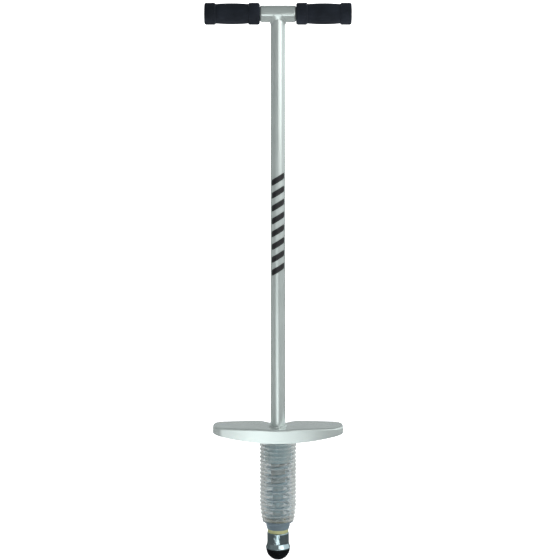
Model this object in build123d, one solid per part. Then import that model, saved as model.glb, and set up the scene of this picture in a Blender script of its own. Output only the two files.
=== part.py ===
"""A child's spring pogo stick: a welded steel ride frame and the sprung plunger that slides in it.

Millimetres, +Z up. The origin is the lowest point of the rubber foot. The handlebar runs along X
and the rider faces +Y, so the front of the stick is -Y. The stick is drawn fully extended.
"""
from build123d import *
import math
import os

# ---- handlebar and tee ----
BAR_AXIS_Z = 946.6
BAR_R = 11.1
BAR_WALL = 1.6
BAR_HALF_LENGTH = 120.0
TEE_R = 14.0
TEE_HALF_LENGTH = 30.2
TEE_SHOULDER_LENGTH = 3.5
TEE_SHOULDER_DROP = 2.0
PLUG_FLANGE = 1.5
PLUG_STEM = 12.0

# ---- foam grips ----
GRIP_START_X = 30.4
GRIP_END_WALL = 2.3
GRIP_COLLAR_R = 18.5
GRIP_COLLAR_LENGTH = 18.0
GRIP_COLLAR_CORNER = 2.6
GRIP_GROOVE_R = 16.0
GRIP_GROOVE_LENGTH = 1.2
GRIP_BELLY_R = 17.8

# ---- column ----
COLUMN_R = 12.7
COLUMN_WALL = 1.5
COLUMN_BORE_R = COLUMN_R - COLUMN_WALL
COLUMN_BOTTOM_Z = 138.0
TEE_WELD_SPREAD = 3.2
TEE_WELD_HEIGHT = 2.5
TEE_WELD_TOP = 1.5

# ---- travel of the plunger and the slots that set it ----
TRAVEL = 70.0
PIN_R = 2.5
PIN_LENGTH = 25.0
PIN_Z = 160.0
SLOT_CLEARANCE = 0.3

# ---- foot platform, a pressed steel pan ----
PAN_TOP_Z = 240.9
PAN_SHEET = 2.0
PAN_HALF_LENGTH = 113.0
PAN_FRONT_Y = -35.0
PAN_BACK_Y = 38.0
PAN_FRONT_CORNER_Y = -21.9
PAN_BACK_CORNER_Y = 26.5
PAN_CORNER_R = 20.0
PAN_FOLD_R = 3.0
SKIRT_CENTRE_DROP = 25.6
SKIRT_ARC_R = 477.0
CHANNEL_HALF_WIDTH = 37.0
CHANNEL_FLOOR_HALF_WIDTH = 6.0
CHANNEL_FRONT_DEPTH = 1.1
CHANNEL_BACK_DEPTH = 4.4
COLUMN_BEAD = 3.8

# ---- spring cup and spring ----
CUP_R = 23.0
CUP_WALL = 1.5
CUP_BOTTOM_Z = 177.0
CUP_BEAD = 2.4
SPRING_TOP_Z = 234.2
SPRING_BOTTOM_Z = 69.1
SPRING_WIRE_R = 2.8
SPRING_MEAN_R = 18.2
SPRING_PITCH = 14.6
WASHER_BORE_R = 13.0
WASHER_R = 21.2

# ---- bellows ----
BELLOWS_WALL = 1.2
BELLOWS_MEAN_R = 30.9
BELLOWS_WAVE = 1.1
BELLOWS_FOLDS = 21
BELLOWS_TOP_Z = 222.0
BELLOWS_TAPER_Z = 98.0
BELLOWS_BOTTOM_Z = 72.0
BELLOWS_BOTTOM_R = 28.0
NECK_R = 24.5
NECK_BORE_R = 23.2
NECK_BOTTOM_Z = 226.0
NECK_TOP_Z = 232.0
CUFF_TOP_R = 20.7
CUFF_BOTTOM_R = 19.2
CUFF_BORE_R = 18.4
CUFF_TOP_Z = 64.0
CUFF_BOTTOM_Z = 56.0
CLIP_THICKNESS = 1.0
CLIP_LOW_Z = 227.0
CLIP_HIGH_Z = 231.5

# ---- plunger and its guides ----
SHAFT_R = 9.5
SHAFT_WALL = 2.5
SHAFT_BOTTOM_Z = 40.0
SHAFT_TOP_Z = 262.0
BUSH_BORE_R = 9.58
BUSH_FLANGE = 3.0
BUSH_TOP_Z = 154.0
PISTON_R = 11.12
PISTON_HEAD = 16.0
PISTON_STEM_R = 6.9
PISTON_STEM = 12.0

# ---- foot ----
SEAT_R = 18.2
SEAT_BOTTOM_Z = 50.0
SEAT_FLANGE_R = 20.6
SEAT_FLANGE_LOW_Z = 66.0
SEAT_FLANGE_HIGH_Z = 69.0
SEAT_PILOT_R = 15.1
SEAT_PILOT_Z = 72.0
SEAT_POCKET_R = 13.4
SEAT_POCKET_Z = 58.0
BUMP_TOP_Z = 64.5
FERRULE_R = 19.05
FERRULE_BORE_R = 17.05
FERRULE_PLATE = 3.0
FERRULE_FLARE_TOP_Z = 30.0
RIM_R = 21.6
RIM_BORE_R = 19.9
RIM_TOP_Z = 24.0
DOME_R = 21.0
FOOT_PLUG_R = 16.95
FOOT_WASHER = 2.0
FOOT_WASHER_R = 16.4
FOOT_WASHER_BORE_R = 3.3
SHAFT_BEAD = 2.6

# ---- decal on the column ----
DECAL_THICKNESS = 0.2
DECAL_LOW_Z = 504.0
DECAL_STRIPES = 8
DECAL_PITCH = 22.0
DECAL_STRIPE_HEIGHT = 9.0
DECAL_SLANT = 32.0
DECAL_EDGE_Y = -7.1


def tube(outer_r, inner_r, low_z, high_z):
    """A straight round tube about Z."""
    return Pos(0, 0, low_z) * extrude(Circle(outer_r) - Circle(inner_r), high_z - low_z)


def rod(radius, low_z, high_z):
    """A solid round bar about Z."""
    return Pos(0, 0, low_z) * extrude(Circle(radius), high_z - low_z)


def turned(edges, axis=Axis.Z):
    """A closed outline of edges in the X-Z plane, turned about an axis of that plane."""
    return revolve(Plane.XZ * make_face(edges), axis)


def turned_points(points, axis=Axis.Z):
    """A closed polygon of (x, z) points, turned about an axis."""
    return turned(Polyline(*points, close=True).edges(), axis)


def chain(points):
    """Straight edges through the points, left open."""
    return list(Polyline(*points).edges())


def bar_rod(radius, low_x, high_x):
    """A solid round bar about the handlebar's axis."""
    return Pos(low_x, 0, BAR_AXIS_Z) * Rot(0, 90, 0) * extrude(Circle(radius), high_x - low_x)


def channel_depth(y):
    """Depth of the channel's floor below the pads, which grows steadily from front to back."""
    share = (y - PAN_FRONT_Y) / (PAN_BACK_Y - PAN_FRONT_Y)
    return CHANNEL_FRONT_DEPTH + (CHANNEL_BACK_DEPTH - CHANNEL_FRONT_DEPTH) * share


def pan_level(drop, depth):
    """Edges of the pan's top line, left to right: two flat pads and the channel between them."""
    pad = PAN_TOP_Z - drop
    floor = pad - depth
    middle = pad - depth / 2
    turn_x = (CHANNEL_HALF_WIDTH + CHANNEL_FLOOR_HALF_WIDTH) / 2
    reach = PAN_HALF_LENGTH + 10
    edges = [Line((-reach, pad), (-CHANNEL_HALF_WIDTH, pad))]
    edges.append(TangentArc((-CHANNEL_HALF_WIDTH, pad), (-turn_x, middle), tangent=(1, 0)))
    edges.append(TangentArc((-CHANNEL_FLOOR_HALF_WIDTH, floor), (-turn_x, middle), tangent=(-1, 0)))
    edges.append(Line((-CHANNEL_FLOOR_HALF_WIDTH, floor), (CHANNEL_FLOOR_HALF_WIDTH, floor)))
    edges.append(TangentArc((CHANNEL_FLOOR_HALF_WIDTH, floor), (turn_x, middle), tangent=(1, 0)))
    edges.append(TangentArc((CHANNEL_HALF_WIDTH, pad), (turn_x, middle), tangent=(-1, 0)))
    edges.append(Line((CHANNEL_HALF_WIDTH, pad), (reach, pad)))
    return edges


def below_pan(drop, bottom_edges):
    """The space under the pan's top line, as far down as the given edges, right across in Y."""
    reach = PAN_HALF_LENGTH + 10
    pad = PAN_TOP_Z - drop
    ends = bottom_edges[0].position_at(0), bottom_edges[-1].position_at(1)
    sides = [Line((-reach, pad), (ends[0].X, ends[0].Y)), Line((reach, pad), (ends[1].X, ends[1].Y))]
    sections = []
    for y in (PAN_FRONT_Y - 8, PAN_BACK_Y + 8):
        outline = make_face(pan_level(drop, channel_depth(y)) + sides + bottom_edges)
        sections.append(Pos(0, y, 0) * (Plane.XZ * outline))
    return loft(sections, ruled=True)


def flat_bottom(level):
    """One straight lower edge for below_pan."""
    reach = PAN_HALF_LENGTH + 10
    return [Line((-reach, level), (reach, level))]


def pan_outline():
    """The pan seen from above: bowed front and back edges, straight ends, rounded corners."""
    left, right = -PAN_HALF_LENGTH, PAN_HALF_LENGTH
    front, back = PAN_FRONT_CORNER_Y, PAN_BACK_CORNER_Y
    edges = [ThreePointArc((left, front), (0, PAN_FRONT_Y), (right, front))]
    edges.append(Line((right, front), (right, back)))
    edges.append(ThreePointArc((right, back), (0, PAN_BACK_Y), (left, back)))
    edges.append(Line((left, back), (left, front)))
    face = make_face(edges)
    return fillet(face.vertices(), PAN_CORNER_R)


def fold_edges(block):
    """The edges round the top of a pan block, without the creases that cross the channel."""
    lowest = PAN_TOP_Z - PAN_SHEET - CHANNEL_BACK_DEPTH - 0.5
    chosen = []
    for edge in block.edges():
        box = edge.bounding_box()
        crease = box.size.X < 0.01 and abs(box.min.X) < PAN_HALF_LENGTH / 2
        if box.min.Z > lowest and not crease:
            chosen.append(edge)
    return chosen


def foot_platform():
    """The pressed pan that the feet stand on, open underneath."""
    low = PAN_TOP_Z - 2 * SKIRT_CENTRE_DROP
    reach = PAN_HALF_LENGTH + 10
    centre_z = PAN_TOP_Z - SKIRT_CENTRE_DROP
    end_z = centre_z + SKIRT_ARC_R - math.sqrt(SKIRT_ARC_R ** 2 - reach ** 2)
    skirt = ThreePointArc((-reach, end_z), (0, centre_z), (reach, end_z))
    block = Pos(0, 0, low) * extrude(pan_outline(), PAN_TOP_Z + 10 - low)
    block = fillet(fold_edges(block & below_pan(0, [skirt])), PAN_FOLD_R)
    inside = offset(pan_outline(), -PAN_SHEET)
    hollow = Pos(0, 0, low) * extrude(inside, PAN_TOP_Z + 10 - low)
    hollow = hollow & below_pan(PAN_SHEET, flat_bottom(low))
    hollow = fillet(fold_edges(hollow), PAN_FOLD_R - PAN_SHEET)
    return block - hollow - rod(COLUMN_R, low, PAN_TOP_Z + 1)


def column_tube():
    """The column, coped to the tee above and slotted for the cross pin below the platform."""
    column = tube(COLUMN_R, COLUMN_BORE_R, COLUMN_BOTTOM_Z, BAR_AXIS_Z)
    column -= bar_rod(TEE_R, -2 * COLUMN_R, 2 * COLUMN_R)
    slot_width = 2 * (PIN_R + SLOT_CLEARANCE)
    slot_length = TRAVEL + slot_width + 1.0
    slot_middle = PIN_Z + TRAVEL / 2
    slot = Plane.YZ * SlotOverall(slot_length, slot_width, rotation=90)
    return column - Pos(0, 0, slot_middle) * extrude(slot, 2 * COLUMN_R, both=True)


def tee_sleeve():
    """The short sleeve welded across the column's top, which the handlebar passes through."""
    shoulder_x = TEE_HALF_LENGTH - TEE_SHOULDER_LENGTH
    end_r = TEE_R - TEE_SHOULDER_DROP
    edges = chain([(-TEE_HALF_LENGTH, end_r), (-TEE_HALF_LENGTH, BAR_R), (TEE_HALF_LENGTH, BAR_R),
                   (TEE_HALF_LENGTH, end_r)])
    edges.append(TangentArc((shoulder_x, TEE_R), (TEE_HALF_LENGTH, end_r), tangent=(1, 0)))
    edges.append(Line((-shoulder_x, TEE_R), (shoulder_x, TEE_R)))
    edges.append(TangentArc((-shoulder_x, TEE_R), (-TEE_HALF_LENGTH, end_r), tangent=(-1, 0)))
    return Pos(0, 0, BAR_AXIS_Z) * turned(edges, Axis.X)


def tee_weld_bead():
    """The fillet weld that runs round the cope between the column and the tee."""
    cope_r = TEE_R + TEE_WELD_HEIGHT
    ring = tube(COLUMN_R + TEE_WELD_SPREAD, COLUMN_R, BAR_AXIS_Z - 2 * TEE_R, BAR_AXIS_Z + TEE_WELD_TOP)
    reach = 2 * COLUMN_R
    return (ring & bar_rod(cope_r, -reach, reach)) - bar_rod(TEE_R, -reach, reach)


def handlebar_tube():
    """The straight handlebar."""
    outer = bar_rod(BAR_R, -BAR_HALF_LENGTH, BAR_HALF_LENGTH)
    return outer - bar_rod(BAR_R - BAR_WALL, -BAR_HALF_LENGTH, BAR_HALF_LENGTH)


def bar_plug():
    """The right-hand plastic end plug of the handlebar."""
    stem = bar_rod(BAR_R - BAR_WALL, BAR_HALF_LENGTH - PLUG_STEM, BAR_HALF_LENGTH)
    return stem + bar_rod(BAR_R, BAR_HALF_LENGTH, BAR_HALF_LENGTH + PLUG_FLANGE)


def grip():
    """The right-hand grip: a barrel between two collars, closed at its outer end."""
    start = GRIP_START_X
    stop_bore = BAR_HALF_LENGTH + PLUG_FLANGE
    stop = stop_bore + GRIP_END_WALL
    corner = GRIP_COLLAR_CORNER
    collar, groove = GRIP_COLLAR_R, GRIP_GROOVE_R
    inner_edge = start + GRIP_COLLAR_LENGTH
    outer_edge = stop - GRIP_COLLAR_LENGTH
    groove_in = inner_edge + GRIP_GROOVE_LENGTH
    groove_out = outer_edge - GRIP_GROOVE_LENGTH
    edges = chain([(stop, collar - corner), (stop, 0), (stop_bore, 0), (stop_bore, BAR_R), (start, BAR_R),
                   (start, collar - corner)])
    edges.append(TangentArc((start + corner, collar), (start, collar - corner), tangent=(-1, 0)))
    edges.append(Line((start + corner, collar), (inner_edge, collar)))
    edges.append(Line((inner_edge, collar), (inner_edge, groove)))
    edges.append(Line((inner_edge, groove), (groove_in, groove)))
    edges.append(ThreePointArc((groove_in, groove), ((start + stop) / 2, GRIP_BELLY_R), (groove_out, groove)))
    edges.append(Line((groove_out, groove), (outer_edge, groove)))
    edges.append(Line((outer_edge, groove), (outer_edge, collar)))
    edges.append(Line((outer_edge, collar), (stop - corner, collar)))
    edges.append(TangentArc((stop - corner, collar), (stop, collar - corner), tangent=(1, 0)))
    return Pos(0, 0, BAR_AXIS_Z) * turned(edges, Axis.X)


def platform_top_weld():
    """The weld bead round the column, lying in the platform's channel."""
    low = PAN_TOP_Z - channel_depth(COLUMN_R + COLUMN_BEAD) - 0.5
    high = PAN_TOP_Z - channel_depth(0) + COLUMN_BEAD
    edges = chain([(COLUMN_R + COLUMN_BEAD, low), (COLUMN_R, low), (COLUMN_R, high)])
    edges.append(RadiusArc((COLUMN_R, high), (COLUMN_R + COLUMN_BEAD, low), -2 * COLUMN_BEAD))
    return turned(edges) - below_pan(0, flat_bottom(low - 5))


def spring_cup():
    """The sleeve under the platform that the spring and the bellows neck sit on."""
    cup = tube(CUP_R, CUP_R - CUP_WALL, CUP_BOTTOM_Z, PAN_TOP_Z)
    return cup & below_pan(PAN_SHEET, flat_bottom(CUP_BOTTOM_Z - 5))


def cup_weld_bead():
    """The weld bead between the spring cup and the underside of the platform."""
    low = PAN_TOP_Z - PAN_SHEET - channel_depth(CUP_R) - CUP_BEAD
    high = PAN_TOP_Z
    bead = turned_points([(CUP_R, low), (CUP_R + CUP_BEAD, low + CUP_BEAD), (CUP_R + CUP_BEAD, high),
                          (CUP_R, high)])
    return bead & below_pan(PAN_SHEET, flat_bottom(low - 5))


def upper_spring_washer():
    """The seat ring between the platform and the spring, shaped above to the pan's underside."""
    ring = tube(WASHER_R, WASHER_BORE_R, SPRING_TOP_Z, PAN_TOP_Z)
    return ring & below_pan(PAN_SHEET, flat_bottom(SPRING_TOP_Z - 5))


def coil_spring():
    """The compression spring, with both ends ground flat."""
    length = SPRING_TOP_Z - SPRING_BOTTOM_Z
    path = Pos(0, 0, SPRING_BOTTOM_Z) * Helix(pitch=SPRING_PITCH, height=length, radius=SPRING_MEAN_R)
    section = Plane(origin=path @ 0, z_dir=path % 0) * Circle(SPRING_WIRE_R)
    wire = sweep(section, path=path, is_frenet=True)
    reach = SPRING_MEAN_R + 2 * SPRING_WIRE_R
    return wire & rod(reach, SPRING_BOTTOM_Z, SPRING_TOP_Z)


def bellows_radius(z):
    """Mean outer radius of the bellows wall at a height: straight, then tapering to the foot."""
    if z > BELLOWS_TAPER_Z:
        return BELLOWS_MEAN_R
    share = (BELLOWS_TAPER_Z - z) / (BELLOWS_TAPER_Z - BELLOWS_BOTTOM_Z)
    return BELLOWS_MEAN_R + (BELLOWS_BOTTOM_R - BELLOWS_MEAN_R) * share


def folds(inset):
    """The bellows wall from top to bottom: crests and valleys as arcs, inset by the wall or not."""
    half = (BELLOWS_TOP_Z - BELLOWS_BOTTOM_Z) / (2 * BELLOWS_FOLDS)
    edges = []
    for number in range(2 * BELLOWS_FOLDS):
        high = BELLOWS_TOP_Z - number * half
        low = high - half
        middle = (high + low) / 2
        wave = BELLOWS_WAVE if number % 2 == 0 else -BELLOWS_WAVE
        start = (bellows_radius(high) - inset, high)
        peak = (bellows_radius(middle) + wave - inset, middle)
        end = (bellows_radius(low) - inset, low)
        edges.append(ThreePointArc(start, peak, end))
    return edges


def bellows():
    """The moulded dust bellows from the spring cup down to the foot."""
    wall = BELLOWS_WALL
    cuff_step_z = CUFF_BOTTOM_Z + 3
    top_outside = chain([(NECK_BORE_R, NECK_TOP_Z), (NECK_R, NECK_TOP_Z), (NECK_R, NECK_BOTTOM_Z),
                         (bellows_radius(BELLOWS_TOP_Z), BELLOWS_TOP_Z)])
    top_inside = chain([(NECK_BORE_R, NECK_TOP_Z), (NECK_BORE_R, NECK_BOTTOM_Z - wall),
                        (bellows_radius(BELLOWS_TOP_Z) - wall, BELLOWS_TOP_Z)])
    shoulder_z = CUFF_TOP_Z + 5
    bottom_outside = chain([(BELLOWS_BOTTOM_R, BELLOWS_BOTTOM_Z), (BELLOWS_BOTTOM_R - 1, shoulder_z),
                            (CUFF_TOP_R, CUFF_TOP_Z), (CUFF_TOP_R - 0.5, cuff_step_z),
                            (CUFF_BOTTOM_R, CUFF_BOTTOM_Z), (CUFF_BORE_R, CUFF_BOTTOM_Z)])
    bottom_inside = chain([(BELLOWS_BOTTOM_R - wall, BELLOWS_BOTTOM_Z),
                           (BELLOWS_BOTTOM_R - 1 - wall, shoulder_z + 0.5),
                           (CUFF_TOP_R - wall, CUFF_TOP_Z + 1), (CUFF_BORE_R, CUFF_TOP_Z - 1),
                           (CUFF_BORE_R, CUFF_BOTTOM_Z)])
    return turned(top_outside + folds(0) + bottom_outside + bottom_inside + folds(wall) + top_inside)


def bellows_clip():
    """The strap clip that holds the bellows neck on the spring cup."""
    return tube(NECK_R + CLIP_THICKNESS, NECK_R, CLIP_LOW_Z, CLIP_HIGH_Z)


def guide_bush():
    """The flanged bush pressed into the column's lower end, which the shaft slides in."""
    flange = tube(COLUMN_R, BUSH_BORE_R, COLUMN_BOTTOM_Z - BUSH_FLANGE, COLUMN_BOTTOM_Z)
    return flange + tube(COLUMN_BORE_R, BUSH_BORE_R, COLUMN_BOTTOM_Z, BUSH_TOP_Z)


def column_decal():
    """Plain slanted stripes printed on the front of the column."""
    skin_r = COLUMN_R + DECAL_THICKNESS
    high = DECAL_LOW_Z + DECAL_STRIPES * DECAL_PITCH
    shell = tube(skin_r, COLUMN_R, DECAL_LOW_Z - DECAL_PITCH, high + DECAL_PITCH)
    front = Pos(0, DECAL_EDGE_Y - COLUMN_R, 0) * Box(4 * COLUMN_R, 2 * COLUMN_R, 4 * BAR_AXIS_Z)
    shell = shell & front
    stripes = []
    for number in range(DECAL_STRIPES):
        middle_z = DECAL_LOW_Z + (number + 0.5) * DECAL_PITCH
        slab = Pos(0, 0, middle_z) * Rot(0, -DECAL_SLANT, 0) * Box(200, 200, DECAL_STRIPE_HEIGHT)
        stripes.extend((shell & slab).solids())
    return Compound(children=stripes)


def plunger_shaft():
    """The sliding tube between the foot and the piston, cross-drilled for its pin."""
    shaft = tube(SHAFT_R, SHAFT_R - SHAFT_WALL, SHAFT_BOTTOM_Z, SHAFT_TOP_Z)
    hole = Pos(0, 0, PIN_Z) * Rot(0, 90, 0) * Cylinder(PIN_R, 4 * SHAFT_R)
    return shaft - hole


def cross_pin():
    """The pin through the shaft that rides in the column's slots and stops the plunger."""
    return Pos(0, 0, PIN_Z) * Rot(0, 90, 0) * Cylinder(PIN_R, PIN_LENGTH)


def piston_plug():
    """The nylon piston in the shaft's top end, which centres it in the column."""
    head = rod(PISTON_R, SHAFT_TOP_Z, SHAFT_TOP_Z + PISTON_HEAD)
    head = chamfer(head.edges().group_by(Axis.Z)[-1], 1.5)
    return head + rod(PISTON_STEM_R, SHAFT_TOP_Z - PISTON_STEM, SHAFT_TOP_Z)


def foot_ferrule():
    """The plated ferrule of the foot, closed above and flared round the rubber below."""
    top = SEAT_BOTTOM_Z
    edges = chain([(FERRULE_R, FERRULE_FLARE_TOP_Z), (FERRULE_R, top - 1.5), (FERRULE_R - 1.5, top),
                   (SHAFT_R, top), (SHAFT_R, top - FERRULE_PLATE), (FERRULE_BORE_R, top - FERRULE_PLATE),
                   (FERRULE_BORE_R, FERRULE_FLARE_TOP_Z), (RIM_BORE_R, RIM_TOP_Z), (RIM_BORE_R, DOME_R),
                   (RIM_R, DOME_R), (RIM_R, RIM_TOP_Z)])
    edges.append(TangentArc((FERRULE_R, FERRULE_FLARE_TOP_Z), (RIM_R, RIM_TOP_Z), tangent=(0, -1)))
    return turned(edges)


def spring_seat_ring():
    """The moulded seat under the spring, with a pilot inside the coil and a pocket for the buffer."""
    return turned_points([(SHAFT_R, SEAT_BOTTOM_Z), (SEAT_R, SEAT_BOTTOM_Z), (SEAT_R, SEAT_FLANGE_LOW_Z),
                          (SEAT_FLANGE_R, SEAT_FLANGE_LOW_Z), (SEAT_FLANGE_R, SEAT_FLANGE_HIGH_Z),
                          (SEAT_PILOT_R, SEAT_FLANGE_HIGH_Z), (SEAT_PILOT_R, SEAT_PILOT_Z),
                          (SEAT_POCKET_R, SEAT_PILOT_Z), (SEAT_POCKET_R, SEAT_POCKET_Z),
                          (SHAFT_R, SEAT_POCKET_Z)])


def bump_stop():
    """The rubber buffer that the column's lower end meets at full travel."""
    return tube(SEAT_POCKET_R, SHAFT_R, SEAT_POCKET_Z, BUMP_TOP_Z)


def foot_washer():
    """The steel washer between the shaft's end and the rubber."""
    return tube(FOOT_WASHER_R, FOOT_WASHER_BORE_R, SHAFT_BOTTOM_Z - FOOT_WASHER, SHAFT_BOTTOM_Z)


def rubber_foot():
    """The rubber tip: a half ball with a plug that is pushed up into the ferrule."""
    top = SHAFT_BOTTOM_Z - FOOT_WASHER
    edges = chain([(DOME_R, DOME_R), (FOOT_PLUG_R, DOME_R), (FOOT_PLUG_R, top), (0, top), (0, 0)])
    edges.append(TangentArc((0, 0), (DOME_R, DOME_R), tangent=(1, 0)))
    return turned(edges)


def shaft_weld_bead():
    """The weld between the shaft and the underside of the ferrule's top plate."""
    top = SEAT_BOTTOM_Z - FERRULE_PLATE
    return turned_points([(SHAFT_R, top), (SHAFT_R + SHAFT_BEAD, top), (SHAFT_R, top - SHAFT_BEAD)])


def mirrored(shape):
    """The left-hand twin of a right-hand piece."""
    return mirror(shape, about=Plane.YZ)


PARTS = {
    "column_tube": column_tube(),
    "tee_sleeve": tee_sleeve(),
    "tee_weld_bead": tee_weld_bead(),
    "handlebar_tube": handlebar_tube(),
    "left_bar_plug": mirrored(bar_plug()),
    "right_bar_plug": bar_plug(),
    "left_grip": mirrored(grip()),
    "right_grip": grip(),
    "foot_platform": foot_platform(),
    "platform_top_weld": platform_top_weld(),
    "spring_cup": spring_cup(),
    "cup_weld_bead": cup_weld_bead(),
    "upper_spring_washer": upper_spring_washer(),
    "coil_spring": coil_spring(),
    "bellows": bellows(),
    "bellows_clip": bellows_clip(),
    "guide_bush": guide_bush(),
    "column_decal": column_decal(),
    "plunger_shaft": plunger_shaft(),
    "cross_pin": cross_pin(),
    "piston_plug": piston_plug(),
    "foot_ferrule": foot_ferrule(),
    "spring_seat_ring": spring_seat_ring(),
    "bump_stop": bump_stop(),
    "foot_washer": foot_washer(),
    "rubber_foot": rubber_foot(),
    "shaft_weld_bead": shaft_weld_bead(),
}

os.makedirs("parts", exist_ok=True)
for name, shape in PARTS.items():
    export_step(shape, "parts/" + name + ".step")
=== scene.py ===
"""Pogo stick: the looks of each piece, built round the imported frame.

Metres, +Z up. The handlebar runs along X and the front of the stick is -Y.
"""
import math

import bmesh
import bpy
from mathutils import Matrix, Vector, noise


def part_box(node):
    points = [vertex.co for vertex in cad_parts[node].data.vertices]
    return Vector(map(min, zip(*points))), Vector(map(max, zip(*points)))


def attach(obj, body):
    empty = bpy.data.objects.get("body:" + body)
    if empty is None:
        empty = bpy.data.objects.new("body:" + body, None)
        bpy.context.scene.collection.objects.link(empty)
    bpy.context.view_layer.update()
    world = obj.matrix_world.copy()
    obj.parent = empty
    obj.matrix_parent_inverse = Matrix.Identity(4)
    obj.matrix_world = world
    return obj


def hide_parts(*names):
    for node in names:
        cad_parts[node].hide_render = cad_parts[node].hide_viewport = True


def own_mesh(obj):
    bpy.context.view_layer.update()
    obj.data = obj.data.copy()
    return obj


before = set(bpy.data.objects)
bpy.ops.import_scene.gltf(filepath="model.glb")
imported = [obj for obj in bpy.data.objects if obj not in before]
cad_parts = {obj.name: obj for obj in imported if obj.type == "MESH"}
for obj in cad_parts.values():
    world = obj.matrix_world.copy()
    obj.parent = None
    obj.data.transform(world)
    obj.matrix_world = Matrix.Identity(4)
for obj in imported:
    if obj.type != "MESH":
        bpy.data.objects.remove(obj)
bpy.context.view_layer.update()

SCENE = bpy.context.scene
MM = 0.001
ON_AXIS = 1e-7

# ---- camera: nearly as high as the handlebar, a little to the right, tilted down ----
CAMERA_PLACE = (0.0034, -3.0, 0.93)
CAMERA_TILT = math.radians(81.75)
CAMERA_LENS = 113.6
SENSOR = 36.0

# ---- the room round the object ----
FLOOR_RADIUS = 5.5
WALL_HEIGHT = 4.0
WALL_START, WALL_STOP = -20, 200
STAGE_PAINT = (0.86, 0.865, 0.87, 1)
GLOW_START, GLOW_STOP = -1.6, -0.1
GLOW_LOW, GLOW_HIGH = 0.15, 1.0

# ---- the brightness of the surroundings ----
AMBIENT, BRIGHTEST = 0.15, 2.0
AMBIENT_COLOUR = (0.93, 0.98, 0.985, 1)
RIGHT_GLOW, BEHIND_GLOW, ABOVE_GLOW, FLOOR_GLOW = 0.9, 0.3, 0.12, 2.35
FLOOR_LEAN = 0.34

# ---- sizes in millimetres that the frame's boxes don't give ----
PRINT_START = 504.0
PRINT_PITCH = 22.0
PRINT_HEIGHT = 9.0
PRINT_LEAN = math.radians(32)
PRINT_STRIPES = 8
WIRE_RADIUS = 2.8
SPRING_PITCH = 14.6
FOLDS_TOP, FOLDS_TAPER, FOLDS_BOTTOM = 222.0, 98.0, 72.0
FOLD_COUNT = 21


# ------------------------------------------------------------------ camera, light and room

def make_camera():
    data = bpy.data.cameras.new("camera")
    data.lens = CAMERA_LENS
    data.sensor_width = SENSOR
    camera = bpy.data.objects.new("camera", data)
    camera.location = CAMERA_PLACE
    camera.rotation_euler = (CAMERA_TILT, 0, 0)
    SCENE.collection.objects.link(camera)
    SCENE.camera = camera


def area_light(name, place, target, size, radiance, colour=(1, 1, 1), mirrored=True):
    """A rectangular soft light turned towards a target, as bright as radiance says whatever its size."""
    data = bpy.data.lights.new(name, "AREA")
    data.shape = "RECTANGLE"
    data.size, data.size_y = size
    data.energy = radiance * math.pi * size[0] * size[1]
    data.color = colour
    light = bpy.data.objects.new(name, data)
    light.location = place
    light.rotation_euler = (Vector(target) - Vector(place)).to_track_quat("-Z", "Y").to_euler()
    light.visible_camera = False
    light.visible_glossy = mirrored
    SCENE.collection.objects.link(light)


def make_lights():
    """A wide soft box to the right, and weak fills from the floor, above and behind."""
    area_light("key", (1.35, -2.34, 1.0), (0, 0, 0.8), (2.6, 1.0), 1.55, (1, 0.995, 0.985))
    area_light("floor_card", (-0.2, -1.1, 0.01), (-0.2, -1.1, 1.0), (0.8, 1.3), 1.0, mirrored=False)
    area_light("overhead", (0.3, -0.7, 2.8), (0, 0, 0.4), (1.6, 1.4), 0.6, mirrored=False)
    area_light("rear_fill", (-1.6, 2.4, 1.7), (0, 0, 0.4), (1.2, 1.2), 0.6, mirrored=False)


def make_world():
    """Dim surroundings, softly brighter at the right, behind, overhead and on the floor in front."""
    world = bpy.data.worlds.new("world")
    world.use_nodes = True
    tree = world.node_tree
    background = tree.nodes["Background"]
    way = tree.nodes.new("ShaderNodeTexCoord")
    across, back, up = split_xyz(tree, way.outputs["Generated"])
    right = times(tree, smooth(tree, across, 0.25, 0.75, RIGHT_GLOW), smooth(tree, up, -0.13, -0.01))
    behind = times(tree, smooth(tree, back, 0.25, 0.9, BEHIND_GLOW), smooth(tree, up, -0.1, 0.1))
    above = times(tree, smooth(tree, up, 0.0, 0.25, ABOVE_GLOW), smooth(tree, back, 0.4, -0.1))
    leaning = plus(tree, across, smooth(tree, up, -0.26, -0.19, FLOOR_LEAN))
    sides = times(tree, smooth(tree, leaning, -0.38, -0.12, FLOOR_GLOW), smooth(tree, leaning, 0.36, 0.15))
    depth = times(tree, smooth(tree, up, -0.11, -0.2), smooth(tree, up, -0.52, -0.34))
    floor = times(tree, times(tree, sides, depth), smooth(tree, back, -0.35, -0.75))
    total = plus(tree, plus(tree, right, behind), plus(tree, floor, above))
    strength = spread(tree, total, AMBIENT, AMBIENT + BRIGHTEST, 0.0, BRIGHTEST)
    tree.links.new(strength, background.inputs["Strength"])
    background.inputs["Color"].default_value = AMBIENT_COLOUR
    SCENE.world = world
    SCENE.view_settings.view_transform = "Standard"


def stage_material(name):
    """Near-white paint that glows more towards the back, so that it reads as plain white there."""
    material, tree, shader = new_material(name)
    shader.inputs["Base Color"].default_value = STAGE_PAINT
    shader.inputs["Roughness"].default_value = 0.9
    place = tree.nodes.new("ShaderNodeTexCoord")
    back = split_xyz(tree, place.outputs["Object"])[1]
    glow = spread(tree, back, GLOW_LOW, GLOW_HIGH, GLOW_START, GLOW_STOP)
    tree.links.new(glow, shader.inputs["Emission Strength"])
    shader.inputs["Emission Color"].default_value = (1, 1, 1, 1)
    return material


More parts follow.
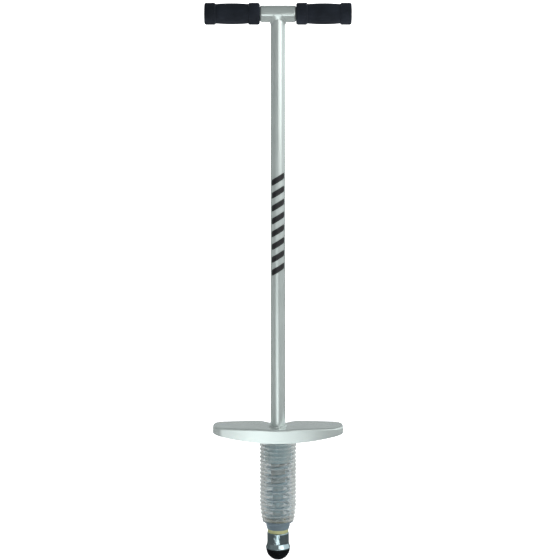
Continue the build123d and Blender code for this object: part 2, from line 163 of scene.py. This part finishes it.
def make_stage():
    """A round pale floor, a wall behind the object, and a wall in front that only the camera sees."""
    mesh = bmesh.new()
    bmesh.ops.create_circle(mesh, cap_ends=True, segments=96, radius=FLOOR_RADIUS)
    stage_piece("floor", mesh)
    stage_piece("backdrop", wall_mesh(WALL_START, WALL_STOP))
    front = stage_piece("front_wall", wall_mesh(WALL_STOP, WALL_START + 360))
    front.visible_diffuse = False
    front.visible_shadow = False
    front.visible_transmission = False


def wall_mesh(start, stop):
    """A stretch of the round wall, between two angles in degrees."""
    mesh = bmesh.new()
    steps = 64
    rows = []
    for level in (0, WALL_HEIGHT):
        row = []
        for number in range(steps + 1):
            angle = math.radians(start + (stop - start) * number / steps)
            place = (FLOOR_RADIUS * math.cos(angle), FLOOR_RADIUS * math.sin(angle), level)
            row.append(mesh.verts.new(place))
        rows.append(row)
    for number in range(steps):
        mesh.faces.new((rows[0][number + 1], rows[0][number], rows[1][number], rows[1][number + 1]))
    return mesh


def stage_piece(name, mesh):
    """Turns a bmesh into a part of the room, which reflections don't show."""
    data = bpy.data.meshes.new(name)
    mesh.to_mesh(data)
    mesh.free()
    data.materials.append(stage_material(name + "_paint"))
    stage = bpy.data.objects.new(name, data)
    SCENE.collection.objects.link(stage)
    stage.visible_glossy = False
    return stage


# ------------------------------------------------------------------ materials

def new_material(name):
    material = bpy.data.materials.new(name)
    material.use_nodes = True
    return material, material.node_tree, material.node_tree.nodes["Principled BSDF"]


def texture(tree, kind, scale, detail=2.0, stretch=(1, 1, 1)):
    """A noise or voronoi texture over the object's own metres; the result is its value output."""
    place = tree.nodes.new("ShaderNodeTexCoord")
    mapping = tree.nodes.new("ShaderNodeMapping")
    mapping.inputs["Scale"].default_value = stretch
    tree.links.new(place.outputs["Object"], mapping.inputs["Vector"])
    node = tree.nodes.new("ShaderNodeTexNoise" if kind == "noise" else "ShaderNodeTexVoronoi")
    node.inputs["Scale"].default_value = scale
    if kind == "noise":
        node.inputs["Detail"].default_value = detail
    tree.links.new(mapping.outputs[0], node.inputs["Vector"])
    return node.outputs["Fac"] if kind == "noise" else node.outputs["Distance"]


def ramp(tree, value, stops):
    """A colour ramp over a value; each stop is (position, colour)."""
    node = tree.nodes.new("ShaderNodeValToRGB")
    elements = node.color_ramp.elements
    while len(elements) < len(stops):
        elements.new(0.5)
    for element, (position, colour) in zip(elements, stops):
        element.position = position
        element.color = (*colour, 1)
    tree.links.new(value, node.inputs[0])
    return node.outputs["Color"]


def spread(tree, value, low, high, start=0.0, stop=1.0, shape="LINEAR"):
    """A value moved from the range start..stop to low..high, and held at its ends."""
    node = tree.nodes.new("ShaderNodeMapRange")
    node.interpolation_type = shape
    node.inputs["From Min"].default_value = start
    node.inputs["From Max"].default_value = stop
    node.inputs["To Min"].default_value = low
    node.inputs["To Max"].default_value = high
    tree.links.new(value, node.inputs["Value"])
    return node.outputs[0]


def smooth(tree, value, start, stop, high=1.0):
    """Rises softly from 0 to high while the value goes from start to stop, which may be the lower one."""
    return spread(tree, value, 0.0, high, start, stop, "SMOOTHSTEP")


def maths(tree, how, *values):
    """One maths node on one or two values."""
    node = tree.nodes.new("ShaderNodeMath")
    node.operation = how
    for value, socket in zip(values, node.inputs):
        tree.links.new(value, socket)
    return node.outputs[0]


def plus(tree, first, second):
    return maths(tree, "ADD", first, second)


def times(tree, first, second):
    return maths(tree, "MULTIPLY", first, second)


def split_xyz(tree, vector):
    """The three components of a vector."""
    split = tree.nodes.new("ShaderNodeSeparateXYZ")
    tree.links.new(vector, split.inputs[0])
    return split.outputs


def vector_maths(tree, how, first, second=None):
    """One vector maths node on a vector and, for some operations, a second vector, linked or constant."""
    node = tree.nodes.new("ShaderNodeVectorMath")
    node.operation = how
    tree.links.new(first, node.inputs[0])
    if isinstance(second, tuple):
        node.inputs[1].default_value = second
    elif second is not None:
        tree.links.new(second, node.inputs[1])
    return node.outputs["Value" if how == "DOT_PRODUCT" else "Vector"]


def mix(tree, kind, factor, first, second):
    """A mix of two vectors or two colours; the factor and the second may be constants."""
    ends = {"VECTOR": "Vector", "RGBA": "Color"}[kind]
    node = tree.nodes.new("ShaderNodeMix")
    node.data_type = kind
    sockets = {socket.identifier: socket for socket in node.inputs}
    if isinstance(factor, float):
        sockets["Factor_Float"].default_value = factor
    else:
        tree.links.new(factor, sockets["Factor_Float"])
    tree.links.new(first, sockets["A_" + ends])
    if isinstance(second, tuple):
        sockets["B_" + ends].default_value = second
    else:
        tree.links.new(second, sockets["B_" + ends])
    return next(socket for socket in node.outputs if socket.identifier == "Result_" + ends)


def bump(tree, shader, height, distance, strength=1.0):
    """Raises the surface by a texture's value times the distance, in metres."""
    node = tree.nodes.new("ShaderNodeBump")
    node.inputs["Distance"].default_value = distance
    node.inputs["Strength"].default_value = strength
    tree.links.new(height, node.inputs["Height"])
    tree.links.new(node.outputs[0], shader.inputs["Normal"])


def coloured(tree, shader, value, dark_stop, dark, light_stop, light):
    """Base colour that goes from dark to light as the value goes from the one stop to the other."""
    tree.links.new(ramp(tree, value, [(dark_stop, dark), (light_stop, light)]), shader.inputs["Base Color"])


def roughened(tree, shader, value, low, high):
    """Roughness that follows a texture's value from low to high."""
    tree.links.new(spread(tree, value, low, high), shader.inputs["Roughness"])


def silver_paint():
    """Silver enamel: fine metal flake, slow cloudy patches and a slight orange peel."""
    material, tree, shader = new_material("silver_paint")
    shader.inputs["Metallic"].default_value = 0.6
    flake = texture(tree, "voronoi", 2600)
    cloud = texture(tree, "noise", 14, 4)
    mixed = plus(tree, spread(tree, flake, -0.06, 0.06), cloud)
    coloured(tree, shader, mixed, 0.25, (0.595, 0.655, 0.635), 0.75, (0.675, 0.735, 0.715))
    roughened(tree, shader, cloud, 0.18, 0.26)
    shader.inputs["Coat Weight"].default_value = 0.25
    shader.inputs["Coat Roughness"].default_value = 0.12
    bump(tree, shader, texture(tree, "noise", 420, 2), 0.00005, 0.4)
    return material


def chrome():
    """Bright plating, slightly hazy, over a thin shell with shallow dents."""
    material, tree, shader = new_material("chrome")
    shader.inputs["Metallic"].default_value = 1.0
    cloud = texture(tree, "noise", 60, 4)
    coloured(tree, shader, cloud, 0.3, (0.36, 0.47, 0.5), 0.7, (0.5, 0.6, 0.63))
    roughened(tree, shader, cloud, 0.09, 0.2)
    bump(tree, shader, texture(tree, "noise", 110, 2, (1, 1, 0.6)), 0.001, 0.7)
    return material


def foam():
    """Closed-cell foam: matt black with a fine grain of cells and slightly paler rubbed patches."""
    material, tree, shader = new_material("grip_foam")
    cells = texture(tree, "voronoi", 1500)
    grain = texture(tree, "noise", 700, 5)
    patches = texture(tree, "noise", 24, 3)
    mixed = plus(tree, spread(tree, grain, -0.12, 0.12), patches)
    coloured(tree, shader, mixed, 0.3, (0.0055, 0.0080, 0.0130), 0.72, (0.0165, 0.0220, 0.0335))
    roughened(tree, shader, grain, 0.72, 0.95)
    shader.inputs["Specular IOR Level"].default_value = 0.3
    bump(tree, shader, plus(tree, cells, grain), 0.00022, 0.7)
    return material


def spring_zinc():
    """Blue-white zinc on spring wire, with fine streaks round it."""
    material, tree, shader = new_material("spring_zinc")
    shader.inputs["Metallic"].default_value = 0.6
    streaks = texture(tree, "noise", 180, 3, (1, 1, 5))
    coloured(tree, shader, streaks, 0.3, (0.34, 0.6, 0.72), 0.7, (0.56, 0.82, 0.92))
    roughened(tree, shader, streaks, 0.12, 0.22)
    bump(tree, shader, streaks, 0.00005, 0.5)
    return material


def bellows_plastic(name, dark, light, clearest, shade):
    """Smoky translucent plastic, clearer seen square on, with its far inside painted as shade: a flat shade
    colour, nearly opaque.

    Light scatters inside the wall, so the shading follows its folds only in part.
    """
    material, tree, shader = new_material(name)
    surface = tree.nodes.new("ShaderNodeNewGeometry").outputs
    place = tree.nodes.new("ShaderNodeTexCoord").outputs["Object"]
    radial = vector_maths(tree, "NORMALIZE", vector_maths(tree, "MULTIPLY", place, (1, 1, 0)))
    # 1 where the wall's seen face looks away from the axis, -1 where it looks towards it
    outward = maths(tree, "SIGN", vector_maths(tree, "DOT_PRODUCT", surface["Normal"], radial))
    straight = vector_maths(tree, "MULTIPLY", radial, outward)
    soft = vector_maths(tree, "NORMALIZE", mix(tree, "VECTOR", 0.6, surface["Normal"], straight))
    # painted shade: the inner faces of the far wall take the flat shade colour, standing in for the shaded
    # inside of the bellows
    inner = spread(tree, outward, 1.0, 0.0, -1.0, 1.0)
    painted_shade_inside = times(tree, inner, spread(tree, surface["Backfacing"], 1.0, 0.0))
    cloud = texture(tree, "noise", 55, 4)
    colour = mix(tree, "RGBA", painted_shade_inside, ramp(tree, cloud, [(0.3, dark), (0.7, light)]), (*shade, 1.0))
    tree.links.new(colour, shader.inputs["Base Color"])
    facing = tree.nodes.new("ShaderNodeLayerWeight")
    facing.inputs["Blend"].default_value = 0.4
    tree.links.new(soft, facing.inputs["Normal"])
    wall = spread(tree, facing.outputs["Facing"], clearest, 0.85)
    # painted shade: the far inside is made nearly opaque, so the backdrop doesn't show through where the
    # inside is in shade
    solid = maths(tree, "MAXIMUM", wall, spread(tree, painted_shade_inside, 0.0, 0.8))
    tree.links.new(solid, shader.inputs["Alpha"])
    roughened(tree, shader, cloud, 0.42, 0.55)
    shader.inputs["Specular IOR Level"].default_value = 0.22
    tree.links.new(soft, shader.inputs["Normal"])
    return material


def seat_yellow():
    """Olive yellow moulded plastic, mottled."""
    material, tree, shader = new_material("seat_yellow")
    cloud = texture(tree, "noise", 90, 4)
    coloured(tree, shader, cloud, 0.3, (0.26, 0.27, 0.12), 0.7, (0.4, 0.4, 0.2))
    roughened(tree, shader, cloud, 0.3, 0.45)
    bump(tree, shader, texture(tree, "noise", 500, 2), 0.00004, 0.5)
    return material


def rubber():
    """Black moulded rubber with a faint bloom."""
    material, tree, shader = new_material("foot_rubber")
    bloom = texture(tree, "noise", 45, 5)
    coloured(tree, shader, bloom, 0.35, (0.0006, 0.0013, 0.0022), 0.75, (0.0025, 0.004, 0.0062))
    roughened(tree, shader, bloom, 0.42, 0.62)
    shader.inputs["Specular IOR Level"].default_value = 0.14
    bump(tree, shader, texture(tree, "noise", 900, 3), 0.00008, 0.6)
    return material


def plain_plastic(name, dark, light):
    """Moulded plastic with a soft mottle and a fine surface grain."""
    material, tree, shader = new_material(name)
    cloud = texture(tree, "noise", 70, 4)
    coloured(tree, shader, cloud, 0.3, dark, 0.7, light)
    roughened(tree, shader, cloud, 0.35, 0.5)
    bump(tree, shader, texture(tree, "noise", 600, 2), 0.00004, 0.5)
    return material


def bare_steel():
    """Drawn steel tube, thinly zinc plated: fine lines along its length."""
    material, tree, shader = new_material("bare_steel")
    shader.inputs["Metallic"].default_value = 0.4
    lines = texture(tree, "noise", 300, 3, (1, 1, 0.04))
    coloured(tree, shader, lines, 0.3, (0.54, 0.76, 0.81), 0.7, (0.7, 0.92, 0.95))
    roughened(tree, shader, lines, 0.28, 0.45)
    bump(tree, shader, lines, 0.00004, 0.5)
    return material


def decal_ink():
    """Satin black print, very slightly worn through at its grain."""
    material, tree, shader = new_material("decal_black")
    wear = texture(tree, "noise", 900, 6)
    coloured(tree, shader, wear, 0.3, (0.006, 0.006, 0.007), 0.8, (0.022, 0.022, 0.024))
    roughened(tree, shader, wear, 0.35, 0.5)
    return material


# ------------------------------------------------------------------ mesh tools

def corner_arc(before, corner, after, radius, steps):
    """Points of the arc that rounds one corner of an outline."""
    back = Vector(before) - Vector(corner)
    on = Vector(after) - Vector(corner)
    half = back.angle(on) / 2
    reach = min(radius / math.tan(half), 0.49 * back.length, 0.49 * on.length)
    radius = reach * math.tan(half)
    start = Vector(corner) + back.normalized() * reach
    stop = Vector(corner) + on.normalized() * reach
    centre = Vector(corner) + (back.normalized() + on.normalized()).normalized() * radius / math.sin(half)
    points = []
    for number in range(steps + 1):
        way = (start - centre).lerp(stop - centre, number / steps).normalized()
        points.append(tuple(centre + way * radius))
    return points


def rounded(points, steps=5):
    """A closed outline from (radius, height, corner radius) points, all in millimetres, to metres."""
    outline = []
    for number, (across, along, corner) in enumerate(points):
        if corner <= 0:
            outline.append((across, along))
            continue
        before = points[number - 1][:2]
        after = points[(number + 1) % len(points)][:2]
        outline += corner_arc(before, (across, along), after, corner, steps)
    return [(across * MM, along * MM) for across, along in outline]


def lathe(outline, turns=128, along="Z", centre_z=0.0):
    """A closed (radius, height) outline turned about an axis. A point on the axis becomes a pole."""
    mesh = bmesh.new()
    rings = []
    for radius, height in outline:
        count = turns if radius > ON_AXIS else 1
        ring = []
        for number in range(count):
            angle = 2 * math.pi * number / turns
            first, second = radius * math.cos(angle), radius * math.sin(angle)
            place = (first, second, height) if along == "Z" else (height, first, second)
            ring.append(mesh.verts.new((place[0], place[1], place[2] + centre_z)))
        rings.append(ring)
    for number, ring in enumerate(rings):
        after = rings[(number + 1) % len(rings)]
        join_rings(mesh, ring, after, turns)
    bmesh.ops.recalc_face_normals(mesh, faces=mesh.faces)
    return mesh


def join_rings(mesh, first, second, turns):
    """Faces between two rings of a lathe; either may be a single pole."""
    if len(first) == 1 and len(second) == 1:
        return
    for number in range(turns):
        after = (number + 1) % turns
        if len(first) == 1:
            mesh.faces.new((first[0], second[after], second[number]))
        elif len(second) == 1:
            mesh.faces.new((first[number], first[after], second[0]))
        else:
            mesh.faces.new((first[number], first[after], second[after], second[number]))


def swept(path, directions, outline, closed):
    """A closed section swept along a path, with the section's two directions at each of its points."""
    mesh = bmesh.new()
    rings = []
    for index, (centre, (side, out)) in enumerate(zip(path, directions)):
        rings.append([mesh.verts.new(centre + side * a + out * b) for a, b in outline(index)])
    count = len(rings[0])
    last = len(rings) if closed else len(rings) - 1
    for number in range(last):
        join_rings(mesh, rings[number], rings[(number + 1) % len(rings)], count)
    if not closed:
        mesh.faces.new(rings[0])
        mesh.faces.new(rings[-1][::-1])
    bmesh.ops.recalc_face_normals(mesh, faces=mesh.faces)
    return mesh


def looped(rings):
    """A closed tube of faces through rings of points, the last ring joined to the first."""
    mesh = bmesh.new()
    made = [[mesh.verts.new(place) for place in ring] for ring in rings]
    for number, ring in enumerate(made):
        join_rings(mesh, ring, made[(number + 1) % len(made)], len(ring))
    bmesh.ops.recalc_face_normals(mesh, faces=mesh.faces)
    return mesh


def piece(name, mesh, material, body, stands_for=(), crease=40):
    """Turns a bmesh into a named piece that rides on a body and stands for its CAD nodes."""
    data = bpy.data.meshes.new(name)
    mesh.to_mesh(data)
    mesh.free()
    data.polygons.foreach_set("use_smooth", [True] * len(data.polygons))
    data.set_sharp_from_angle(angle=math.radians(crease))
    data.materials.append(material)
    made = bpy.data.objects.new(name, data)
    SCENE.collection.objects.link(made)
    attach(made, body)
    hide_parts(*stands_for)
    return made


def oval(across, along, count):
    """An oval section as (across, along) points, starting on the across axis."""
    turns = [2 * math.pi * number / count for number in range(count)]
    return [(across * math.cos(turn), along * math.sin(turn)) for turn in turns]


def box_mm(node):
    """A CAD node's lowest and highest corner, in millimetres."""
    low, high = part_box(node)
    return low / MM, high / MM


def level_radius(node):
    """The radius of a round CAD node that lies level, in millimetres."""
    low, high = box_mm(node)
    return (high.z - low.z) / 2


def upright_radius(node):
    """The radius of a round CAD node that stands on the column's axis, in millimetres."""
    return box_mm(node)[1].x


# ------------------------------------------------------------------ pieces

def make_grip(name, side, material):
    """A foam grip: a barrel between two rounded collars, with a moulded ring on its end."""
    low, high = box_mm(name)
    bar_end = box_mm("handlebar_tube")[1].x
    bore, collar = level_radius("handlebar_tube"), level_radius(name)
    inner = min(abs(low.x), abs(high.x))
    outer = max(abs(low.x), abs(high.x))
    collar_length, step = 18.0, 1.2
    groove, belly = collar - 2.0, collar - 0.75
    points = [(bore, inner, 0.3), (collar, inner, 3.4), (collar, inner + collar_length, 1.5),
              (groove, inner + collar_length + step, 0.8)]
    start, stop = inner + collar_length + 2 * step, outer - collar_length - 2 * step
    foot = groove + 0.1
    steps = 16
    for number in range(steps + 1):
        share = number / steps
        swell = math.sin(math.pi * share) ** 0.75
        points.append((foot + (belly - foot) * swell, start + (stop - start) * share, 0))
    ring_depth, end_wall = 0.7, 1.6
    points += [(groove, outer - collar_length - step, 0.8), (collar, outer - collar_length, 1.5),
               (collar, outer - 0.3, 3.8), (12.2, outer, 0.8), (11.6, outer - ring_depth, 0.3),
               (10.8, outer - ring_depth, 0.3), (10.2, outer, 0.6), (0, outer - 0.2, 0),
               (0, bar_end + end_wall, 0), (bore, bar_end + end_wall, 0)]
    axis_z = (low.z + high.z) / 2 * MM
    mesh = lathe(rounded(points), 144, "X", axis_z)
    roughness = 0.12 * MM
    for vertex in mesh.verts:
        vertex.co.x *= side
        wander = noise.noise(vertex.co * 90) * roughness
        away = Vector((0, vertex.co.y, vertex.co.z - axis_z))
        if away.length > bore * MM * 1.05:
            vertex.co += away.normalized() * (wander - roughness)
    bmesh.ops.recalc_face_normals(mesh, faces=mesh.faces)
    grip = piece(name + "_foam", mesh, material, "frame", [name])


def make_tee(material):
    """The tee sleeve, with soft rounded shoulders."""
    low, high = box_mm("tee_sleeve")
    radius, half = level_radius("tee_sleeve"), high.x
    bore = level_radius("handlebar_tube")
    shoulder, drop, steps = 3.5, 2.0, 10
    curve = (shoulder ** 2 + drop ** 2) / (2 * drop)
    sweep = math.asin(shoulder / curve)
    arc = []
    for number in range(steps + 1):
        turn = sweep * number / steps
        arc.append((radius - curve * (1 - math.cos(turn)), half - shoulder + curve * math.sin(turn), 0))
    mirrored = [(across, -along, 0) for across, along, _ in arc]
    points = [(bore, half, 0)] + arc[::-1] + mirrored + [(bore, -half, 0)]
    mesh = lathe(rounded(points), 160, "X", (low.z + high.z) / 2 * MM)
    piece("tee_sleeve_painted", mesh, material, "frame", ["tee_sleeve"], 50)


def make_tee_weld(material):
    """The smooth fillet between the column and the tee, a raised arch with a soft lip at front and back."""
    column = upright_radius("column_tube")
    low, high = box_mm("tee_sleeve")
    axis_z, tee = (low.z + high.z) / 2, level_radius("tee_sleeve")
    steps, rise_steps = 288, 32
    arch_top, arch_half, root = 1.3, column + 0.7, 5.0
    lip_height, lip_at, lip_width = 0.75, 0.94, 0.055
    rings = []
    for number in range(steps):
        angle = 2 * math.pi * number / steps
        across, ahead = math.cos(angle), math.sin(angle)
        cope = math.sqrt(tee ** 2 - (column * ahead) ** 2)
        start = Vector(((column - 0.06) * across, (column - 0.06) * ahead, -cope - root))
        height = -tee + (tee + arch_top) * abs(ahead) ** 1.35
        depth = math.sqrt(max(tee ** 2 - height ** 2, 0))
        stop = Vector((arch_half * across, math.copysign(depth, ahead), height))
        out = (Vector((across, ahead, 0)) + stop.normalized() * 1.2).normalized()
        wander = 1 + 0.1 * noise.noise(Vector((across, ahead, 0)) * 6)
        ring = []
        for step in range(rise_steps + 1):
            share = step / rise_steps
            lip = lip_height * math.exp(-((share - lip_at) / lip_width) ** 2)
            swell = 0.45 * math.sin(math.pi * share ** 1.3) ** 2 + lip
            place = start.lerp(stop, share ** 1.8)
            place.z = start.z + (stop.z - start.z) * share
            ring.append(place + out * swell * wander)
        ring.append(stop * 0.93)
        ring.append(Vector((start.x * 0.94, start.y * 0.94, start.z)))
        rings.append([(Vector((0, 0, axis_z)) + place) * MM for place in ring])
    piece("tee_weld", looped(rings), material, "frame", ["tee_weld_bead"], 70)


def make_platform_weld(material):
    """The small rippled bead where the column meets the platform, on a channel that slopes to the back."""
    low, high = box_mm("platform_top_weld")
    reach, slope = upright_radius("column_tube") + 0.3, 0.045
    steps, ripples, lump_at, lump_width = 320, 34, math.radians(305), 0.35
    path, directions = [], []
    for number in range(steps):
        angle = 2 * math.pi * number / steps
        across, back = reach * math.cos(angle), reach * math.sin(angle)
        floor = low.z + slope * (high.y - back)
        path.append(Vector((across, back, floor + 0.4 + 0.7 * math.cos(angle) ** 2)) * MM)
        directions.append((Vector((0, 0, 1)), Vector((math.cos(angle), math.sin(angle), 0))))

    def bead(index):
        angle = 2 * math.pi * index / steps
        ripple = 1 + 0.08 * math.sin(angle * ripples)
        from_lump = (angle - lump_at) / lump_width
        lump = 1 + 0.3 * noise.noise(Vector(path[index]) * 150) + 0.55 * math.exp(-from_lump ** 2)
        return oval(1.7 * MM * ripple, 1.9 * MM * lump * ripple, 16)

    piece("platform_weld", swept(path, directions, bead, True), material, "frame",
          ["platform_top_weld"], 60)


def make_spring(material):
    """The coil spring: even turns of round wire, ground flat at both ends."""
    low, high = box_mm("coil_spring")
    mean = high.x - WIRE_RADIUS
    length = high.z - low.z
    turns = length / SPRING_PITCH
    count = int(turns * 64)
    angles = [2 * math.pi * turns * number / count for number in range(count + 1)]
    path = []
    for number, angle in enumerate(angles):
        level = low.z + length * number / count
        path.append(Vector((mean * math.cos(angle), mean * math.sin(angle), level)) * MM)
    directions = []
    for number, angle in enumerate(angles):
        after, before = path[min(number + 1, count)], path[max(number - 1, 0)]
        tangent = (after - before).normalized()
        out = Vector((math.cos(angle), math.sin(angle), 0))
        directions.append((tangent.cross(out), out))

    def round_wire(_):
        return oval(WIRE_RADIUS * MM, WIRE_RADIUS * MM, 20)

    mesh = swept(path, directions, round_wire, False)
    for vertex in mesh.verts:
        vertex.co.z = min(max(vertex.co.z, low.z * MM), high.z * MM)
    spring = piece("spring", mesh, material, "frame", ["coil_spring"], 45)
    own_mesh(spring)


def make_bellows(clear, smoky):
    """The dust bellows in three pieces: a still neck, a wall of folds and a cuff that moves."""
    low, high = box_mm("bellows")
    wave, wall, narrowing = 1.35, 1.2, 2.9
    neck_out, neck_in = 24.5, 23.2
    mean = high.x - wave

    def radius_at(level):
        share = min(max((FOLDS_TAPER - level) / (FOLDS_TAPER - FOLDS_BOTTOM), 0), 1)
        return mean - narrowing * share

    def wave_at(level):
        turn = 2 * math.pi * (FOLDS_TOP - level) / (FOLDS_TOP - FOLDS_BOTTOM) * FOLD_COUNT
        return wave * (math.sin(turn) + 0.16 * math.sin(3 * turn + math.pi))

    steps = FOLD_COUNT * 16
    outside, inside = [], []
    for number in range(steps + 1):
        level = FOLDS_TOP + (FOLDS_BOTTOM - FOLDS_TOP) * number / steps
        radius = radius_at(level) + wave_at(level)
        outside.append((radius, level, 0))
        inside.append((radius - wall, level, 0))
    mesh = lathe(rounded(outside + inside[::-1]), 144)
    folding = piece("bellows_folds", mesh, clear, "frame", ["bellows"], 60)
    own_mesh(folding)

    neck = [(neck_in, high.z, 0.3), (neck_out, high.z, 0.4), (neck_out, FOLDS_TOP + 4.4, 1.0),
            (mean + 0.2, FOLDS_TOP + 1.4, 1.2), (mean, FOLDS_TOP, 0), (mean - wall, FOLDS_TOP, 0),
            (mean - wall - 0.4, FOLDS_TOP + 1.0, 0.8), (neck_in, FOLDS_TOP + 3.0, 0.6)]
    piece("bellows_neck", lathe(rounded(neck), 144), clear, "frame")

    end = radius_at(FOLDS_BOTTOM)
    cuff = [(end, FOLDS_BOTTOM, 0), (end - 0.3, low.z + 14.2, 1.8), (21.0, low.z + 9.8, 1.6),
            (20.7, low.z + 6.0, 0), (20.5, low.z + 4.0, 0.5), (19.7, low.z + 3.2, 0.6),
            (19.4, low.z + 0.3, 0.8), (18.45, low.z, 0.3), (18.45, low.z + 7.0, 0.5),
            (19.5, low.z + 8.8, 0.8), (end - wall - 0.5, low.z + 14.4, 1.2),
            (end - wall, FOLDS_BOTTOM, 0)]
    piece("bellows_cuff", lathe(rounded(cuff), 144), smoky, "plunger")


def make_ferrule(material):
    """The chromed ferrule: a rolled top edge, a straight sleeve and a flared, rolled rim."""
    low, high = box_mm("foot_ferrule")
    sleeve, inside, rim, shaft = 19.05, 17.05, high.x, upright_radius("plunger_shaft")
    points = [(shaft, high.z, 0), (sleeve, high.z, 1.6), (sleeve, low.z + 9.5, 5.0),
              (rim - 0.7, low.z + 3.6, 2.2), (rim, low.z + 1.9, 1.2), (rim - 0.2, low.z, 0.9),
              (19.9, low.z, 0.4), (19.7, low.z + 3.2, 1.0), (inside, low.z + 9.0, 3.0),
              (inside, high.z - 3, 0.5), (shaft, high.z - 3, 0)]
    piece("ferrule", lathe(rounded(points, 8), 160), material, "plunger", ["foot_ferrule"], 50)


def make_seat(material):
    """The yellow spring seat, with its pilot, its pocket and softened edges."""
    low, high = box_mm("spring_seat_ring")
    ledge, flange, pocket = 66, 69, 58
    plug, pilot, well, shaft = 18.2, 15.1, 13.4, upright_radius("plunger_shaft")
    points = [(shaft, low.z, 0), (plug, low.z, 0.7), (plug, ledge, 0.4), (high.x, ledge, 0.4),
              (high.x, flange, 0.5), (pilot, flange, 0.3), (pilot, high.z, 0.7), (well, high.z, 0.4),
              (well, pocket, 0.3), (shaft, pocket, 0)]
    mesh = lathe(rounded(points), 128)
    piece("spring_seat", mesh, material, "plunger", ["spring_seat_ring"])


def make_rubber_foot(material):
    """The rubber half ball, with a thin moulding line and a plug inside the ferrule."""
    high = box_mm("rubber_foot")[1]
    dome = high.x
    steps, line_step, line_height = 40, 34, 0.14
    points = []
    for number in range(steps + 1):
        angle = math.pi / 2 * number / steps
        line = line_height * math.exp(-((number - line_step) / 0.7) ** 2)
        radius = (dome + line - line_height) * math.sin(angle)
        points.append((radius, dome - dome * math.cos(angle), 0))
    points += [(dome - 0.2, dome + 0.02, 0), (16.95, dome + 0.02, 0.4), (16.95, high.z, 0.8), (0, high.z, 0)]
    piece("rubber_tip", lathe(rounded(points), 128), material, "plunger", ["rubber_foot"])


def make_decal(material):
    """Slanted stripes of print that lie on the column's front, with slightly rounded ends."""
    radius = upright_radius("column_tube")
    outer_lift, inner_lift = 0.16, 0.02
    half_angle = math.acos(-box_mm("column_decal")[1].y / radius)
    columns, rows = 24, 6
    mesh = bmesh.new()
    for stripe in range(PRINT_STRIPES):
        middle = PRINT_START + (stripe + 0.5) * PRINT_PITCH
        shells = []
        for lift in (outer_lift, inner_lift):
            skin = radius + lift
            grid = []
            for column in range(columns + 1):
                share = 2 * column / columns - 1
                angle = share * half_angle
                tall = PRINT_HEIGHT / 2 / math.cos(PRINT_LEAN) * (1 - abs(share) ** 14 * 0.35)
                centre = middle + radius * math.sin(angle) * math.tan(PRINT_LEAN)
                line = []
                for row in range(rows + 1):
                    level = centre + tall * (2 * row / rows - 1)
                    place = Vector((skin * math.sin(angle), -skin * math.cos(angle), level)) * MM
                    line.append(mesh.verts.new(place))
                grid.append(line)
            shells.append(grid)
        close_patch(mesh, shells, columns, rows)
    bmesh.ops.recalc_face_normals(mesh, faces=mesh.faces)
    piece("column_print", mesh, material, "frame", ["column_decal"], 30)


def close_patch(mesh, shells, columns, rows):
    """Faces of a thin curved patch: its two skins and the four edges between them."""
    for grid in shells:
        for column in range(columns):
            for row in range(rows):
                mesh.faces.new((grid[column][row], grid[column + 1][row],
                                grid[column + 1][row + 1], grid[column][row + 1]))
    top, under = shells
    for column in range(columns):
        for row in (0, rows):
            mesh.faces.new((top[column][row], top[column + 1][row],
                            under[column + 1][row], under[column][row]))
    for row in range(rows):
        for column in (0, columns):
            mesh.faces.new((top[column][row], top[column][row + 1],
                            under[column][row + 1], under[column][row]))


def paint_node(node, material):
    """Gives a CAD node that is shown as it is its material."""
    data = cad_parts[node].data
    data.materials.clear()
    data.materials.append(material)


def make_pieces():
    """Every piece of the stick, and the materials of the CAD nodes that are shown as they are."""
    silver = silver_paint()
    zinc = spring_zinc()
    steel = bare_steel()
    black_rubber = rubber()
    grip_foam = foam()
    black = plain_plastic("black_plastic", (0.012, 0.012, 0.014), (0.03, 0.03, 0.033))
    nylon = plain_plastic("nylon", (0.62, 0.6, 0.53), (0.76, 0.74, 0.68))
    # the last colour given to each bellows material is the painted shade of its far inside, not a colour of
    # the plastic
    clear = bellows_plastic("bellows_plastic", (0.46, 0.48, 0.46), (0.56, 0.58, 0.56), 0.17,
                            (0.48, 0.8, 0.9))
    smoky = bellows_plastic("bellows_cuff_plastic", (0.11, 0.155, 0.185), (0.16, 0.21, 0.245), 0.7,
                            (0.1, 0.15, 0.18))

    make_grip("left_grip", -1, grip_foam)
    make_grip("right_grip", 1, grip_foam)
    make_tee(silver)
    make_tee_weld(silver)
    make_platform_weld(silver)
    make_spring(zinc)
    make_bellows(clear, smoky)
    make_ferrule(chrome())
    make_seat(seat_yellow())
    make_rubber_foot(black_rubber)
    make_decal(decal_ink())

    shown_as_they_are = (
        (silver, ("column_tube", "foot_platform")),
        (steel, ("handlebar_tube", "spring_cup", "cup_weld_bead", "plunger_shaft", "cross_pin",
                 "shaft_weld_bead")),
        (zinc, ("upper_spring_washer", "foot_washer")),
        (black, ("left_bar_plug", "right_bar_plug", "bellows_clip")),
        (nylon, ("guide_bush", "piston_plug")),
        (black_rubber, ("bump_stop",)),
    )
    for material, nodes in shown_as_they_are:
        for node in nodes:
            paint_node(node, material)


make_camera()
make_world()
make_lights()
make_stage()
make_pieces()
